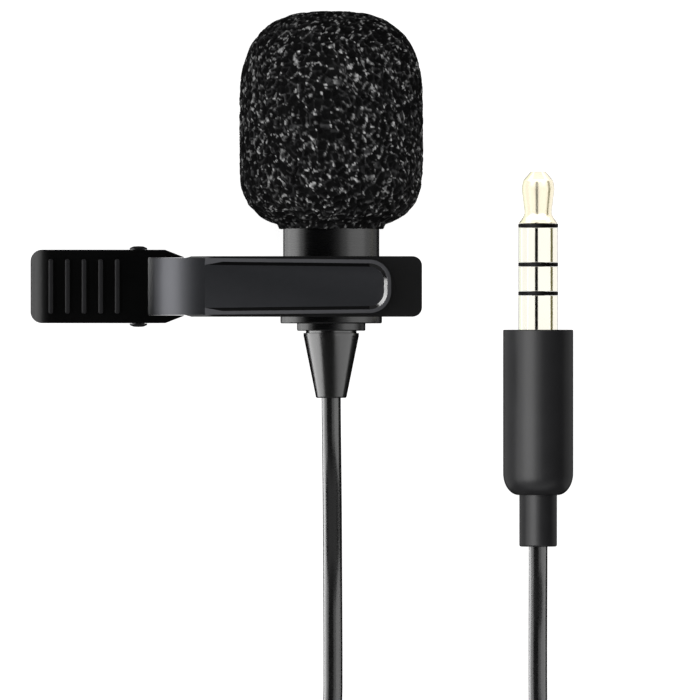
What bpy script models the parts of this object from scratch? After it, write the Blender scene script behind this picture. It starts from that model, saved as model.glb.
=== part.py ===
"""Lavalier microphone: foam windscreen, clothes clip, 1.5 m cable and 3.5 mm four-contact plug.

It lies on the plane z = 0 with the microphone's axis along Y. X runs along the clip, and Z points away from
the surface that it lies on. The origin is at the bottom centre of the microphone with its clip.
Measurements in the comments are in millimetres, and in the code they are multiplied by MM.
"""

import math

import bmesh
import bpy
from mathutils import Matrix, Vector

MM = 0.001
FIT = 0.03  # gap between pieces that touch
FACE_GAP = 0.3  # gap between the cable's solids and what they meet

# Microphone, along its axis. Places are measured from the clip's centre line.
FOAM_RADIUS = 8.2
FOAM_BOTTOM, FOAM_TOP = 5.07, 24.53
HOUSING_RADIUS, HOUSING_BORE = 4.275, 3.75
HOUSING_BOTTOM, HOUSING_TOP = -2.1, 16.6
CAP_TOP = 18.0  # front of the grille cap
COLLAR_RADIUS, STEP_RADIUS = 4.515, 3.04
COLLAR_BOTTOM, STEP_BOTTOM = -3.26, -3.92
RELIEF_TOP_RADIUS, RELIEF_END_RADIUS, RELIEF_END = 2.46, 1.35, -9.89
CAPSULE_RADIUS = 3.0

# Clip. Places along X are measured from the microphone's axis, heights from the floor.
CLIP_LEFT, STRIP_RIGHT, PLATE_RIGHT = -26.65, 5.3, 8.05
STRIP_TOP, STRIP_THICK = 16.1, 0.9
STRIP_WIDE, STRIP_NARROW = 5.14, 4.34
RECESS_DEPTH, RECESS_RIM = 0.3, 0.45
TAIL_TOP, TAIL_END = 13.95, -17.9  # the strip's tail, under the thumb grip
BEND_START, BEND_END, BEND_FOOT = -16.6, -11.2, 0.9  # the foot is the hollow curve at the bend's low end
GRIP_TOP, GRIP_FLOOR, GRIP_RIGHT, GRIP_WIDE, CHEEK = 15.0, 14.0, -16.6, 6.5, 0.62
RIB_COUNT, RIB_FIRST, RIB_PITCH, RIB_WIDE, RIB_LONG, RIB_HIGH = 5, -24.89, 1.47, 0.4, 4.84, 0.2
PLATE_TOP, PLATE_THICK, PLATE_WIDE, LEVER_WIDE = 14.1, 0.8, 5.37, 4.8
LEVER_KNEE, LEVER_FOOT, LEVER_END = (-10.6, PLATE_TOP), (-15.6, 9.7), (-25.9, 7.6)
PAD_LEFT, PAD_RIGHT, PAD_WIDE, PAD_WALL = -26.5, -20.4, 6.0, 0.55
RIVET_X, RIVET_HOLE, RIVET_HEAD = 1.6, 0.48, 0.75  # the ring's rivets, beside the microphone's axis
PIVOT_X, PIVOT_Z, PIN_RADIUS, PIN_LENGTH, HEAD_RADIUS = -17.1, 11.8, 0.55, 7.17, 0.78
RING_WALL, RING_HIGH, RING_MOUTH = 0.74, 4.1, 50.0

# Plug, beside the microphone.
PLUG_X, PLUG_TOP, SHELL_TOP, SHELL_BOTTOM, PLUG_END = 18.47, 10.28, -3.82, -18.58, -23.18
SHAFT_RADIUS, SHELL_RADIUS, PLUG_RELIEF_RADIUS = 1.75, 3.13, 1.68
INSULATOR_TOPS, INSULATOR_HIGH = (5.72, 2.25, -0.33), 0.5

# Cable
CABLE_RADIUS = 0.85
COIL_X, COIL_Y, COIL_MEAN_RADIUS, COIL_ROWS = 9.3, -59.0, 10.2, (6, 5, 6, 5)
TIE_THICK, TIE_WIDE = 0.4, 3.0

# Where the microphone's axis and the clip's centre line are in the object's frame.
MIC_X = -(CLIP_LEFT + FOAM_RADIUS) / 2
CLIP_Y = -(STEP_BOTTOM + FOAM_TOP) / 2
MIC_Z = FOAM_RADIUS

ROUND, FINE = 24, 32  # segments of small and large round pieces

MATERIALS = {
    "foam": ((0.012, 0.012, 0.013), 1.0, 0.0),
    "black_metal": ((0.03, 0.03, 0.032), 0.35, 0.6),
    "black_plastic": ((0.02, 0.02, 0.021), 0.45, 0.0),
    "rubber": ((0.03, 0.03, 0.03), 0.7, 0.0),
    "cable_jacket": ((0.025, 0.025, 0.025), 0.4, 0.0),
    "gold": ((0.95, 0.78, 0.42), 0.18, 1.0),
    "steel": ((0.6, 0.6, 0.6), 0.3, 1.0),
    "felt": ((0.08, 0.08, 0.08), 1.0, 0.0),
    "board": ((0.03, 0.16, 0.07), 0.5, 0.0),
    "copper_red": ((0.5, 0.05, 0.04), 0.4, 0.0),
}


def clear_scene():
    for thing in list(bpy.data.objects):
        bpy.data.objects.remove(thing, do_unlink=True)


def collection(name):
    made = bpy.data.collections.new(name)
    bpy.context.scene.collection.children.link(made)
    return made


def make_materials():
    for name, (colour, rough, metal) in MATERIALS.items():
        material = bpy.data.materials.new(name)
        material.use_nodes = True
        shader = material.node_tree.nodes["Principled BSDF"]
        shader.inputs["Base Color"].default_value = (*colour, 1.0)
        shader.inputs["Roughness"].default_value = rough
        shader.inputs["Metallic"].default_value = metal


def place(x=0.0, y=0.0, z=0.0):
    """A point of the object's frame in metres, from the microphone's axis and the clip's centre line."""
    return Vector(((MIC_X + x) * MM, (CLIP_Y + y) * MM, z * MM))


def new_object(name, data, material=None):
    """A new object of the model, or a cutter when it has no material."""
    made = bpy.data.objects.new(name, data)
    if material:
        PARTS.objects.link(made)
        data.materials.append(bpy.data.materials[material])
    else:
        CUTTERS.objects.link(made)
        made.hide_render = True
        made.display_type = "WIRE"
    return made


def arc(centre, radius, start, end, count):
    """count + 1 points on an arc, angles in degrees."""
    turns = [math.radians(start + (end - start) * i / count) for i in range(count + 1)]
    return [(centre[0] + radius * math.cos(t), centre[1] + radius * math.sin(t)) for t in turns]


def superellipse(width, height, power, count, downwards):
    """A quarter of a superellipse, from its top to its side, or from its side to its bottom."""
    points = []
    for i in range(count + 1):
        turn = math.pi / 2 * i / count
        across, along = (math.sin(turn), math.cos(turn))
        x = width * across ** (2 / power)
        y = height * along ** (2 / power)
        points.append((x, y))
    return [(x, -y) for x, y in reversed(points)] if downwards else points


def turned(name, profile, at, material=None, steps=ROUND, along_y=True):
    """A turned solid. The profile is (radius, distance along the axis), down its outer side."""
    mesh = bpy.data.meshes.new(name)
    closed = profile[0][0] > 0
    count = len(profile)
    edges = [(i, (i + 1) % count) for i in range(count if closed else count - 1)]
    mesh.from_pydata([(r * MM, 0, h * MM) for r, h in profile], edges, [])
    made = new_object(name, mesh, material)
    screw = made.modifiers.new("turn", "SCREW")
    screw.steps = screw.render_steps = steps
    screw.use_merge_vertices = True
    screw.merge_threshold = 0.000005
    made.location = at
    if along_y:
        made.rotation_euler = (-math.pi / 2, 0, 0)
    return made


def solid_mesh(thing):
    """The object as one welded mesh in world coordinates. The object is replaced."""
    bpy.context.view_layer.update()
    depsgraph = bpy.context.evaluated_depsgraph_get()
    mesh = bpy.data.meshes.new_from_object(thing.evaluated_get(depsgraph))
    mesh.transform(thing.matrix_world)
    name = thing.name
    bpy.data.objects.remove(thing, do_unlink=True)
    work = bmesh.new()
    work.from_mesh(mesh)
    bmesh.ops.remove_doubles(work, verts=work.verts, dist=0.000002)
    bmesh.ops.recalc_face_normals(work, faces=work.faces)
    work.to_mesh(mesh)
    work.free()
    mesh.name = name
    return mesh


def extruded(name, outline, half, at, upright, material=None):
    """A flat outline given thickness. Upright, its points are (x, z) and it is thick along Y."""
    curve = bpy.data.curves.new(name, "CURVE")
    curve.dimensions = "2D"
    curve.fill_mode = "BOTH"
    curve.extrude = half * MM
    line = curve.splines.new("POLY")
    line.points.add(len(outline) - 1)
    for point, (a, b) in zip(line.points, outline, strict=True):
        point.co = (a * MM, b * MM, 0, 1)
    line.use_cyclic_u = True
    made = new_object(name, curve)
    made.location = at
    if upright:
        made.rotation_euler = (math.pi / 2, 0, 0)
    return new_object(name, solid_mesh(made), material)


def block(name, low, high, material=None):
    """A box between two corners, given from the microphone's axis and the clip's centre line."""
    work = bmesh.new()
    bmesh.ops.create_cube(work, size=1.0)
    size = [(b - a) * MM for a, b in zip(low, high, strict=True)]
    middle = [(a + b) / 2 for a, b in zip(low, high, strict=True)]
    bmesh.ops.transform(work, matrix=Matrix.Diagonal((*size, 1.0)), verts=work.verts)
    bmesh.ops.translate(work, vec=place(*middle), verts=work.verts)
    mesh = bpy.data.meshes.new(name)
    work.to_mesh(mesh)
    work.free()
    return new_object(name, mesh, material)


def combine(thing, others, operation="DIFFERENCE"):
    for other in others:
        step = thing.modifiers.new(other.name, "BOOLEAN")
        step.operation = operation
        step.object = other
    return thing


def wire(name, points, radius, material, sides=2):
    """A round wire or cable through points in metres."""
    curve = bpy.data.curves.new(name, "CURVE")
    curve.dimensions = "3D"
    curve.bevel_depth = radius * MM
    curve.bevel_resolution = sides
    curve.use_fill_caps = True
    line = curve.splines.new("POLY")
    line.points.add(len(points) - 1)
    for point, spot in zip(line.points, points, strict=True):
        point.co = (*spot, 1)
    return new_object(name, curve, material)


def smooth_route(knots, step):
    """Points a step apart on a smooth curve through the knots. Points are (x, y, z) in millimetres."""
    path = [Vector(k) for k in knots]
    path = [2 * path[0] - path[1], *path, 2 * path[-1] - path[-2]]
    dense = []
    for a, b, c, d in zip(path, path[1:], path[2:], path[3:], strict=False):
        for i in range(20):
            t = i / 20
            dense.append(
                0.5 * (2 * b + (c - a) * t + (2 * a - 5 * b + 4 * c - d) * t**2
                       + (3 * b - a - 3 * c + d) * t**3)
            )
    dense.append(path[-2])
    far = [0.0]
    for a, b in zip(dense, dense[1:], strict=False):
        far.append(far[-1] + (b - a).length)
    count = max(2, round(far[-1] / step))
    points, at = [], 0
    for i in range(count + 1):
        want = far[-1] * i / count
        while at < len(far) - 2 and far[at + 1] < want:
            at += 1
        share = (want - far[at]) / max(far[at + 1] - far[at], 1e-9)
        points.append(dense[at].lerp(dense[at + 1], share))
    return points


def smooth_shading(thing):
    if thing.type == "MESH":
        thing.data.shade_smooth()
        thing.data.set_sharp_from_angle(angle=math.radians(35))


def axis_empty(name, at, parts):
    """An empty on a joint's axis, which carries the pieces that move about it."""
    empty = bpy.data.objects.new(name, None)
    PARTS.objects.link(empty)
    empty.location = at
    bpy.context.view_layer.update()
    for part in parts:
        part.parent = empty
        part.matrix_parent_inverse = empty.matrix_world.inverted()
    return empty


# ------------------------------------------------------------------ microphone


def housing():
    at = place(z=MIC_Z)
    outer, bore, edge = HOUSING_RADIUS, HOUSING_BORE, 0.15
    tube = [
        (outer - edge, HOUSING_TOP), (outer, HOUSING_TOP - edge),
        (outer, HOUSING_BOTTOM + edge), (outer - edge, HOUSING_BOTTOM),
        (bore, HOUSING_BOTTOM), (bore, HOUSING_TOP),
    ]
    turned("capsule_housing", tube, at, "black_metal", FINE)
    skirt, wall, front, top = bore - FIT, 0.4, 0.55, CAP_TOP
    seat = HOUSING_TOP + FIT
    rim = seat - 0.7  # lower edge of the skirt that sits in the housing
    cap = [
        (0, top), (outer - 0.4, top), (outer, top - 0.3), (outer, seat), (skirt, seat),
        (skirt, rim), (skirt - wall, rim), (skirt - wall, top - front), (0, top - front),
    ]
    grille = turned("grille_cap", cap, at, "black_metal", FINE)
    hole, circle = 0.62, 2.0
    cutters = []
    for i in range(7):
        turn, radius = math.radians(60 * i), 0.0 if i == 6 else circle
        spot = place(radius * math.cos(turn), 0, MIC_Z + radius * math.sin(turn))
        bore_line = [(0, top + 1), (hole, top + 1), (hole, top - 1), (0, top - 1)]
        cutters.append(turned(f"grille_hole_{i + 1}", bore_line, spot, None, 12))
    combine(grille, cutters)
    inner = skirt - wall - FIT
    discs = {
        "grille_mesh": (inner, top - 0.6, top - 0.75, "steel"),
        "dust_felt": (inner, top - 0.8, top - 1.35, "felt"),
        "electret_capsule": (CAPSULE_RADIUS, top - 1.6, top - 4.3, "steel"),
        "capsule_board": (CAPSULE_RADIUS - 0.2, top - 4.4, top - 4.8, "board"),
    }
    for name, (radius, high, low, material) in discs.items():
        disc = [(0, high), (radius - 0.05, high), (radius, high - 0.05), (radius, low), (0, low)]
        turned(name, disc, at, material, ROUND)
    seal = [
        (bore - FIT, top - 2.2), (bore - FIT, top - 4.5),
        (CAPSULE_RADIUS + FIT, top - 4.5), (CAPSULE_RADIUS + FIT, top - 2.2),
    ]
    turned("capsule_gasket", seal, at, "rubber", ROUND)


def cable_end():
    """The stepped end cap, the cable's end with its crimp ring and leads, and the tapered strain relief."""
    at = place(z=MIC_Z)
    top, bore = HOUSING_BOTTOM - FIT, CABLE_RADIUS + FIT
    plug_radius, plug_top = HOUSING_BORE - FIT, -0.6
    cap = [
        (plug_radius, plug_top), (plug_radius, top), (COLLAR_RADIUS, top),
        (COLLAR_RADIUS, COLLAR_BOTTOM + 0.1), (COLLAR_RADIUS - 0.1, COLLAR_BOTTOM),
        (STEP_RADIUS, COLLAR_BOTTOM), (STEP_RADIUS, STEP_BOTTOM), (bore, STEP_BOTTOM), (bore, plug_top),
    ]
    turned("end_cap", cap, at, "black_metal", FINE)
    inner = [(0, 1.2), (CABLE_RADIUS, 1.2), (CABLE_RADIUS, STEP_BOTTOM), (0, STEP_BOTTOM)]
    turned("cable_inner_end", inner, at, "cable_jacket", 16)
    ring = [
        (1.55, 0.85), (1.6, 0.8), (1.6, plug_top + FIT), (bore, plug_top + FIT), (bore, 0.85),
    ]
    turned("cable_crimp", ring, at, "steel", 16)
    neck = STEP_BOTTOM - 0.2
    cone = [
        (0, STEP_BOTTOM - FIT), (2.15, STEP_BOTTOM - FIT), (2.15, neck), (RELIEF_TOP_RADIUS, neck),
        (RELIEF_TOP_RADIUS, neck - 0.25), (RELIEF_END_RADIUS, RELIEF_END + 0.15),
        (RELIEF_END_RADIUS - 0.15, RELIEF_END), (0, RELIEF_END),
    ]
    turned("strain_relief", cone, at, "rubber", ROUND)
    board = CAP_TOP - 4.85
    for name, side, material in (("signal_lead", 1, "copper_red"), ("shield_lead", -1, "steel")):
        knots = [
            place(side * 1.3, board, MIC_Z), place(side * 1.5, board - 2.5, MIC_Z + 0.5),
            place(side * 0.9, board - 6.5, MIC_Z - 0.4), place(side * 0.4, 1.25, MIC_Z),
        ]
        points = [p * MM for p in smooth_route([k / MM for k in knots], 1.3)]
        wire(name, points, 0.2, material, 1)


def windscreen():
    """The foam ball with its blind socket, which slides off along the microphone's axis."""
    shoulder, corner = 9.0, 6.2
    outer = superellipse(FOAM_RADIUS, shoulder, 2.8, 8, False)
    lower = superellipse(FOAM_RADIUS, corner, 3.0, 7, True)
    profile = [(r, FOAM_TOP - shoulder + h) for r, h in outer]
    profile += [(r, FOAM_BOTTOM + corner + h) for r, h in lower if r > HOUSING_RADIUS + 0.3]
    socket, depth = HOUSING_RADIUS + FIT, CAP_TOP + 0.1
    profile += [(socket + 0.2, FOAM_BOTTOM), (socket, FOAM_BOTTOM + 0.2), (socket, depth), (0, depth)]
    foam = turned("foam_windscreen", profile, place(z=MIC_Z), "foam", FINE)
    axis_empty("windscreen_slide_axis", place(0, FOAM_BOTTOM, MIC_Z), [foam])


# ------------------------------------------------------------------------ clip


def plan(name, outline, high):
    """A tall cutter with a flat outline in X and Y, for trimming a piece of the clip to its plan."""
    return extruded(name, outline, high, place(), False)


def rounded_bar(left, right, half_left, half_right, corner_left, corner_right):
    """A plan outline that tapers from left to right, with rounded corners."""
    outline = arc((right - corner_right, half_right - corner_right), corner_right, 0, 90, 6)
    outline += arc((left + corner_left, half_left - corner_left), corner_left, 90, 180, 5)
    return outline + [(x, -y) for x, y in reversed(outline)]


def bend_profile(offset):
    """The strip's upper side from its flat part down to its tail, moved down by offset."""
    fall, run = STRIP_TOP - TAIL_TOP, BEND_END - BEND_START
    turn = 2 * math.atan2(fall, run)
    radius, foot = (run - BEND_FOOT) / math.sin(turn), BEND_FOOT / math.sin(turn)
    degrees = math.degrees(turn)
    upper = arc((BEND_END, STRIP_TOP - radius), radius - offset, 90, 90 + degrees, 7)
    lower = arc((BEND_START, TAIL_TOP + foot), foot + offset, -90 + degrees, -90, 5)
    return upper + lower


def jaw_strip():
    """The front jaw: flat, bent down to its tail, with a rounded end and a sunk panel."""
    under = bend_profile(STRIP_THICK)
    side = [(STRIP_RIGHT + 1, STRIP_TOP), *bend_profile(0), (TAIL_END - 1, TAIL_TOP)]
    side += [(TAIL_END - 1, TAIL_TOP - STRIP_THICK), *reversed(under)]
    side += [(STRIP_RIGHT + 1, STRIP_TOP - STRIP_THICK)]
    strip = extruded("jaw_strip", side, 4.0, place(), True, "black_metal")
    wide, narrow, end, rim = STRIP_WIDE / 2, STRIP_NARROW / 2, 1.9, RECESS_RIM
    shape = rounded_bar(TAIL_END, STRIP_RIGHT, wide, narrow, 0.3, end)
    inner = rounded_bar(BEND_START, STRIP_RIGHT - rim, wide - rim, narrow - rim, 0.3, end - rim)
    combine(strip, [plan("strip_plan", shape, 30)], "INTERSECT")
    depth = (STRIP_TOP - RECESS_DEPTH + 20) * MM
    recess = extruded("strip_recess", inner, 20, place() + Vector((0, 0, depth)), False)
    combine(strip, [recess])
    return strip


def tooth_line(left, right, low, high, pitch):
    """A zigzag from left to right between two heights."""
    count = round((right - left) / pitch * 2)
    return [(left + (right - left) * i / count, high if i % 2 else low) for i in range(count + 1)]


def jaw_pads():
    """Two toothed pads that meet at the jaws' ends."""
    left, right, half = 2.55, 4.75, 1.45
    floor, roof = PLATE_TOP + FIT, STRIP_TOP - STRIP_THICK - FIT
    bite, tooth = (floor + roof) / 2, 0.12
    lower = tooth_line(left, right, bite - tooth - 0.05, bite + tooth - 0.05, 0.55)
    upper = [(x, z + 0.1) for x, z in lower]
    pads = []
    for name, back, teeth in (("plate_jaw_pad", floor, lower), ("strip_jaw_pad", roof, upper)):
        outline = [(right, back), (left, back), *teeth]
        pads.append(extruded(name, outline, half, place(), True, "rubber"))
    return pads


def pin_hole(name, radius):
    """A cutter for the pivot's holes."""
    return turned(name, [(0, 6), (radius, 6), (radius, -6), (0, -6)], place(PIVOT_X, 0, PIVOT_Z), None, 16)


def thumb_grip():
    """The ribbed thumb lever, a channel whose cheeks hold the pivot and flank the strip's bend."""
    left, top, floor = CLIP_LEFT, GRIP_TOP, GRIP_FLOOR
    curl = arc((left + 1.9, top - 1.9), 1.9, 90, 165, 6)
    hub = arc((PIVOT_X, PIVOT_Z), 1.4, 215, 360, 7)
    side = [(GRIP_RIGHT + 0.1, top), *curl, (left, floor - 1.1), (left + 0.4, floor - 1.2)]
    side += [(-20.6, floor - 1.0), *hub, (PIVOT_X + 1.6, 12.8), (-13.0, 13.6), (-13.0, 14.4)]
    side += [(-14.6, top - 0.1)]
    grip = extruded("thumb_grip", side, GRIP_WIDE / 2, place(), True, "black_plastic")
    half, inner, corner = GRIP_WIDE / 2, GRIP_WIDE / 2 - CHEEK, 1.05
    top_edge = [(-13.05, inner + 0.05), (-14.7, half)]
    top_edge += [*arc((left + corner, half - corner), corner, 90, 180, 5)]
    outline = top_edge + [(x, -y) for x, y in reversed(top_edge)]
    combine(grip, [plan("grip_plan", outline, 30)], "INTERSECT")
    hollow = block("grip_hollow", (left + 0.7, -inner, 5.0), (-10.0, inner, floor))
    notch = block("grip_notch", (GRIP_RIGHT, -inner, 5.0), (-10.0, inner, 20.0))
    combine(grip, [hollow, notch, pin_hole("grip_pin_hole", PIN_RADIUS + 0.05)])
    ribs = []
    for i in range(RIB_COUNT):
        middle = RIB_FIRST + i * RIB_PITCH
        low = (middle - RIB_WIDE / 2, -RIB_LONG / 2, top - 0.3)
        high = (middle + RIB_WIDE / 2, RIB_LONG / 2, top + RIB_HIGH)
        ribs.append(block(f"grip_rib_{i + 1}", low, high))
    return combine(grip, ribs, "UNION")


def lever_height(x):
    """Height of the rear thumb lever's upper side."""
    slope = (LEVER_FOOT[1] - LEVER_END[1]) / (LEVER_FOOT[0] - LEVER_END[0])
    return LEVER_END[1] + slope * (x - LEVER_END[0])


def holder_plate():
    """The rear jaw: a flat plate bent down into a thumb lever, with two ears for the pivot."""
    upper = [(PLATE_RIGHT + 1, PLATE_TOP), LEVER_KNEE, LEVER_FOOT, LEVER_END]
    lower = [(x - 0.25, z - PLATE_THICK) for x, z in upper]
    side = upper + list(reversed(lower))
    plate = extruded("holder_plate", side, 4.0, place(), True, "black_metal")
    half, lever = PLATE_WIDE / 2, LEVER_WIDE / 2
    corner = 0.85
    edge = arc((PLATE_RIGHT - corner, half - corner), corner, 0, 90, 6)
    edge += [(-12.4, half), (-13.4, lever), (LEVER_END[0] - 1, lever)]
    outline = edge + [(x, -y) for x, y in reversed(edge)]
    combine(plate, [plan("plate_plan", outline, 30)], "INTERSECT")
    ear = [(-19.4, lever_height(-19.4) - PLATE_THICK / 2), (-15.1, 9.6)]
    ear += arc((PIVOT_X, PIVOT_Z), 1.15, -30, 200, 9)
    thick = 0.6
    ears = []
    for name, middle in (("ear_near", -lever + thick / 2), ("ear_far", lever - thick / 2)):
        ears.append(extruded(name, ear, thick / 2, place(0, middle), True))
    combine(plate, ears, "UNION")
    holes = [pin_hole("plate_pin_hole", PIN_RADIUS + 0.05)]
    for i, side in enumerate((-1, 1)):
        hole = [(0, 20), (RIVET_HOLE, 20), (RIVET_HOLE, 10), (0, 10)]
        holes.append(turned(f"rivet_hole_{i + 1}", hole, place(side * RIVET_X), None, 12, False))
    return combine(plate, holes)


def holder_ring():
    """The spring ring under the rear jaw, open at the bottom, with a flat seat for its rivets."""
    inner, outer = HOUSING_RADIUS + 0.05, HOUSING_RADIUS + 0.05 + RING_WALL
    seat, mouth = PLATE_TOP - PLATE_THICK - FIT, RING_MOUTH / 2
    centre = (0, MIC_Z)
    flat = 2.75  # half the width of its seat
    outline = arc(centre, outer, -90 + mouth, 55, 10)
    outline += [(flat, seat), (-flat, seat)]
    outline += arc(centre, outer, 125, 270 - mouth, 10)
    outline += arc(centre, inner, 270 - mouth, -90 + mouth, 24)
    ring = extruded("holder_ring", outline, RING_HIGH / 2, place(), True, "black_plastic")
    holes, rivets = [], []
    floor, top, shank = 12.6, PLATE_TOP + FIT, RIVET_HOLE - 0.04
    hole = [(0, 14), (RIVET_HOLE, 14), (RIVET_HOLE, floor), (0, floor)]
    rivet = [(0, top + 0.25), (RIVET_HEAD * 0.7, top + 0.22), (RIVET_HEAD, top), (shank, top)]
    rivet += [(shank, floor + FIT), (0, floor + FIT)]
    for i, side in enumerate((-1, 1)):
        at = place(side * RIVET_X)
        holes.append(turned(f"seat_hole_{i + 1}", hole, at, None, 12, False))
        rivets.append(turned(f"ring_rivet_{i + 1}", rivet, at, "steel", 16, False))
    return [combine(ring, holes), *rivets]


def rear_thumb_pad():
    """The pad that is pushed onto the end of the rear lever, with ribs on its far side."""
    radius, half = PLATE_THICK / 2 + PAD_WALL, PAD_WIDE / 2
    nose = PAD_LEFT + radius
    tilt = math.degrees(math.atan2(lever_height(PAD_RIGHT) - lever_height(nose), PAD_RIGHT - nose))
    high = lever_height(PAD_RIGHT) + PAD_WALL
    side = [(PAD_RIGHT, high)]
    side += arc((nose, lever_height(nose) - PLATE_THICK / 2), radius, 90 + tilt, 270 + tilt, 8)
    side += [(PAD_RIGHT, high - 2 * radius)]
    pad = extruded("rear_thumb_pad", side, half, place(), True, "black_plastic")
    shape = rounded_bar(PAD_LEFT, PAD_RIGHT, half, half, 1.05, 0.3)
    combine(pad, [plan("pad_plan", shape, 30)], "INTERSECT")
    end, mouth = LEVER_END[0] - 0.3, PAD_RIGHT + 0.4
    slot = [(end, lever_height(end) + FIT), (mouth, lever_height(mouth) + FIT)]
    slot += [(mouth, lever_height(mouth) - PLATE_THICK - 0.1), (end, lever_height(end) - PLATE_THICK - 0.02)]
    combine(pad, [extruded("pad_pocket", slot, LEVER_WIDE / 2 + FIT, place(), True)])
    ribs = []
    for i in range(3):
        middle = RIB_FIRST + i * RIB_PITCH
        face = lever_height(middle) - PLATE_THICK - PAD_WALL
        low = (middle - RIB_WIDE / 2, -RIB_LONG / 2, face - RIB_HIGH)
        ribs.append(block(f"pad_rib_{i + 1}", low, (middle + RIB_WIDE / 2, RIB_LONG / 2, face + 0.2)))
    return combine(pad, ribs, "UNION")


def pivot_pin():
    """The pin, with a low dome on each end outside the thumb grip's cheeks."""
    end, head = PIN_LENGTH / 2, GRIP_WIDE / 2 + FIT
    dome = [(0, end), (HEAD_RADIUS * 0.6, end - 0.06), (HEAD_RADIUS, end - 0.2), (HEAD_RADIUS, head)]
    profile = [*dome, (PIN_RADIUS, head)]
    profile += [(radius, -height) for radius, height in reversed(profile)]
    return turned("pivot_pin", profile, place(PIVOT_X, 0, PIVOT_Z), "steel", 16)


def torsion_spring():
    """A coil round the pivot pin with one leg under each thumb lever."""
    turns, radius, thick, half = 4.5, 0.85, 0.16, 1.3
    leg_end = PIVOT_X - 6.0
    points = [place(leg_end, -half, GRIP_FLOOR - thick - 0.05)]
    count = round(turns * 14)
    for i in range(count + 1):
        turn = math.pi / 2 + 2 * math.pi * turns * i / count
        x = PIVOT_X - radius * math.cos(turn)
        z = PIVOT_Z + radius * math.sin(turn)
        points.append(place(x, -half + 2 * half * i / count, z))
    points.append(place(leg_end, half, lever_height(leg_end) + PAD_WALL + thick + 0.05))
    return wire("torsion_spring", points, thick, "steel", 1)


def clip():
    strip, grip = jaw_strip(), thumb_grip()
    plate_pad, strip_pad = jaw_pads()
    held = [holder_plate(), *holder_ring(), rear_thumb_pad(), plate_pad, pivot_pin(), torsion_spring()]
    turn_axis = axis_empty("clip_turn_axis", place(z=MIC_Z), held)
    lever_axis = axis_empty("clamp_hinge_axis", place(PIVOT_X, 0, PIVOT_Z), [strip, grip, strip_pad])
    lever_axis.parent = turn_axis
    lever_axis.matrix_parent_inverse = turn_axis.matrix_world.inverted()


# ------------------------------------------------------------------------ plug


def plug():
    """Four contacts and three insulators on a core pin, in a moulded barrel with a short sleeve."""
    at = place(PLUG_X, 0, SHELL_RADIUS)
    radius, bore = SHAFT_RADIUS, 0.62
    first = INSULATOR_TOPS[0]
    tip = [
        (0, PLUG_TOP), (0.62, PLUG_TOP), (1.3, PLUG_TOP - 0.75), (1.45, PLUG_TOP - 1.25),
        (1.43, PLUG_TOP - 1.65), (1.2, 6.6), (1.17, 6.3), (1.62, 5.9), (1.66, first + FIT),
        (bore, first + FIT), (bore, PLUG_TOP - 2.4), (0, PLUG_TOP - 2.4),
    ]
    turned("plug_tip", tip, at, "gold", ROUND)
    lows = [top - INSULATOR_HIGH for top in INSULATOR_TOPS]
    for i, top in enumerate(INSULATOR_TOPS):
        ring = [(radius, top), (radius, lows[i]), (bore, lows[i]), (bore, top)]
        turned(f"plug_insulator_{i + 1}", ring, at, "black_plastic", ROUND)
    for i in range(2):
        high, low = lows[i] - FIT, INSULATOR_TOPS[i + 1] + FIT
        ring = [(radius, high), (radius, low), (bore, low), (bore, high)]
        turned(f"plug_ring_{i + 1}", ring, at, "gold", ROUND)
    high, flange = lows[2] - FIT, SHELL_TOP - 0.8
    sleeve = [
        (radius, high), (radius, flange), (2.2, flange), (2.2, flange - 0.8), (1.3, flange - 0.8),
        (1.3, flange - 4.0), (bore, flange - 4.0), (bore, high),
    ]
    turned("plug_sleeve", sleeve, at, "gold", ROUND)
    pin = [(0, PLUG_TOP - 2.45), (bore - FIT, PLUG_TOP - 2.45), (bore - FIT, flange - 5.0), (0, flange - 5.0)]
    turned("plug_core_pin", pin, at, "steel", 12)

    hollow, mouth = 2.4, radius + FIT
    outer, edge = SHELL_RADIUS, 0.15
    barrel = [(outer - edge, SHELL_TOP), (outer, SHELL_TOP - edge), (outer, SHELL_BOTTOM + 1.9)]
    barrel += [(outer - 1.25 * (1 - math.cos(t)), SHELL_BOTTOM + 1.9 - 1.9 * math.sin(t))
               for t in (math.radians(22.5 * k) for k in range(1, 5))]
    neck = PLUG_RELIEF_RADIUS + FIT
    barrel += [
        (neck, SHELL_BOTTOM), (neck, SHELL_BOTTOM + 1.6), (hollow, SHELL_BOTTOM + 1.6),
        (hollow, SHELL_TOP - 0.75), (mouth, SHELL_TOP - 0.75), (mouth, SHELL_TOP),
    ]
    turned("plug_shell", barrel, at, "black_plastic", FINE)
    relief = PLUG_RELIEF_RADIUS
    sleeve_end = [
        (0, SHELL_BOTTOM + 3.2), (relief + 0.45, SHELL_BOTTOM + 3.2), (relief + 0.45, SHELL_BOTTOM + 1.65),
        (relief, SHELL_BOTTOM + 1.65), (relief, PLUG_END + 0.2), (relief - 0.2, PLUG_END), (0, PLUG_END),
    ]
    turned("plug_strain_relief", sleeve_end, at, "rubber", ROUND)
    mould_top, mould_bottom = flange - 5.1, SHELL_BOTTOM + 4.6
    mould = [(0, mould_top), (2.3, mould_top), (2.3, mould_bottom), (0, mould_bottom)]
    turned("plug_inner_mould", mould, at, "black_plastic", 16)
    for i, side in enumerate((-1, 1)):
        points = [
            place(PLUG_X + side * 0.5, SHELL_BOTTOM + 3.25, SHELL_RADIUS),
            place(PLUG_X + side * 0.9, SHELL_BOTTOM + 3.9, SHELL_RADIUS),
            place(PLUG_X + side * 0.9, mould_bottom - 0.05, SHELL_RADIUS),
        ]
        wire(f"plug_lead_{i + 1}", points, 0.22, "copper_red" if i else "steel", 1)


# ----------------------------------------------------------------------- cable


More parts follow.
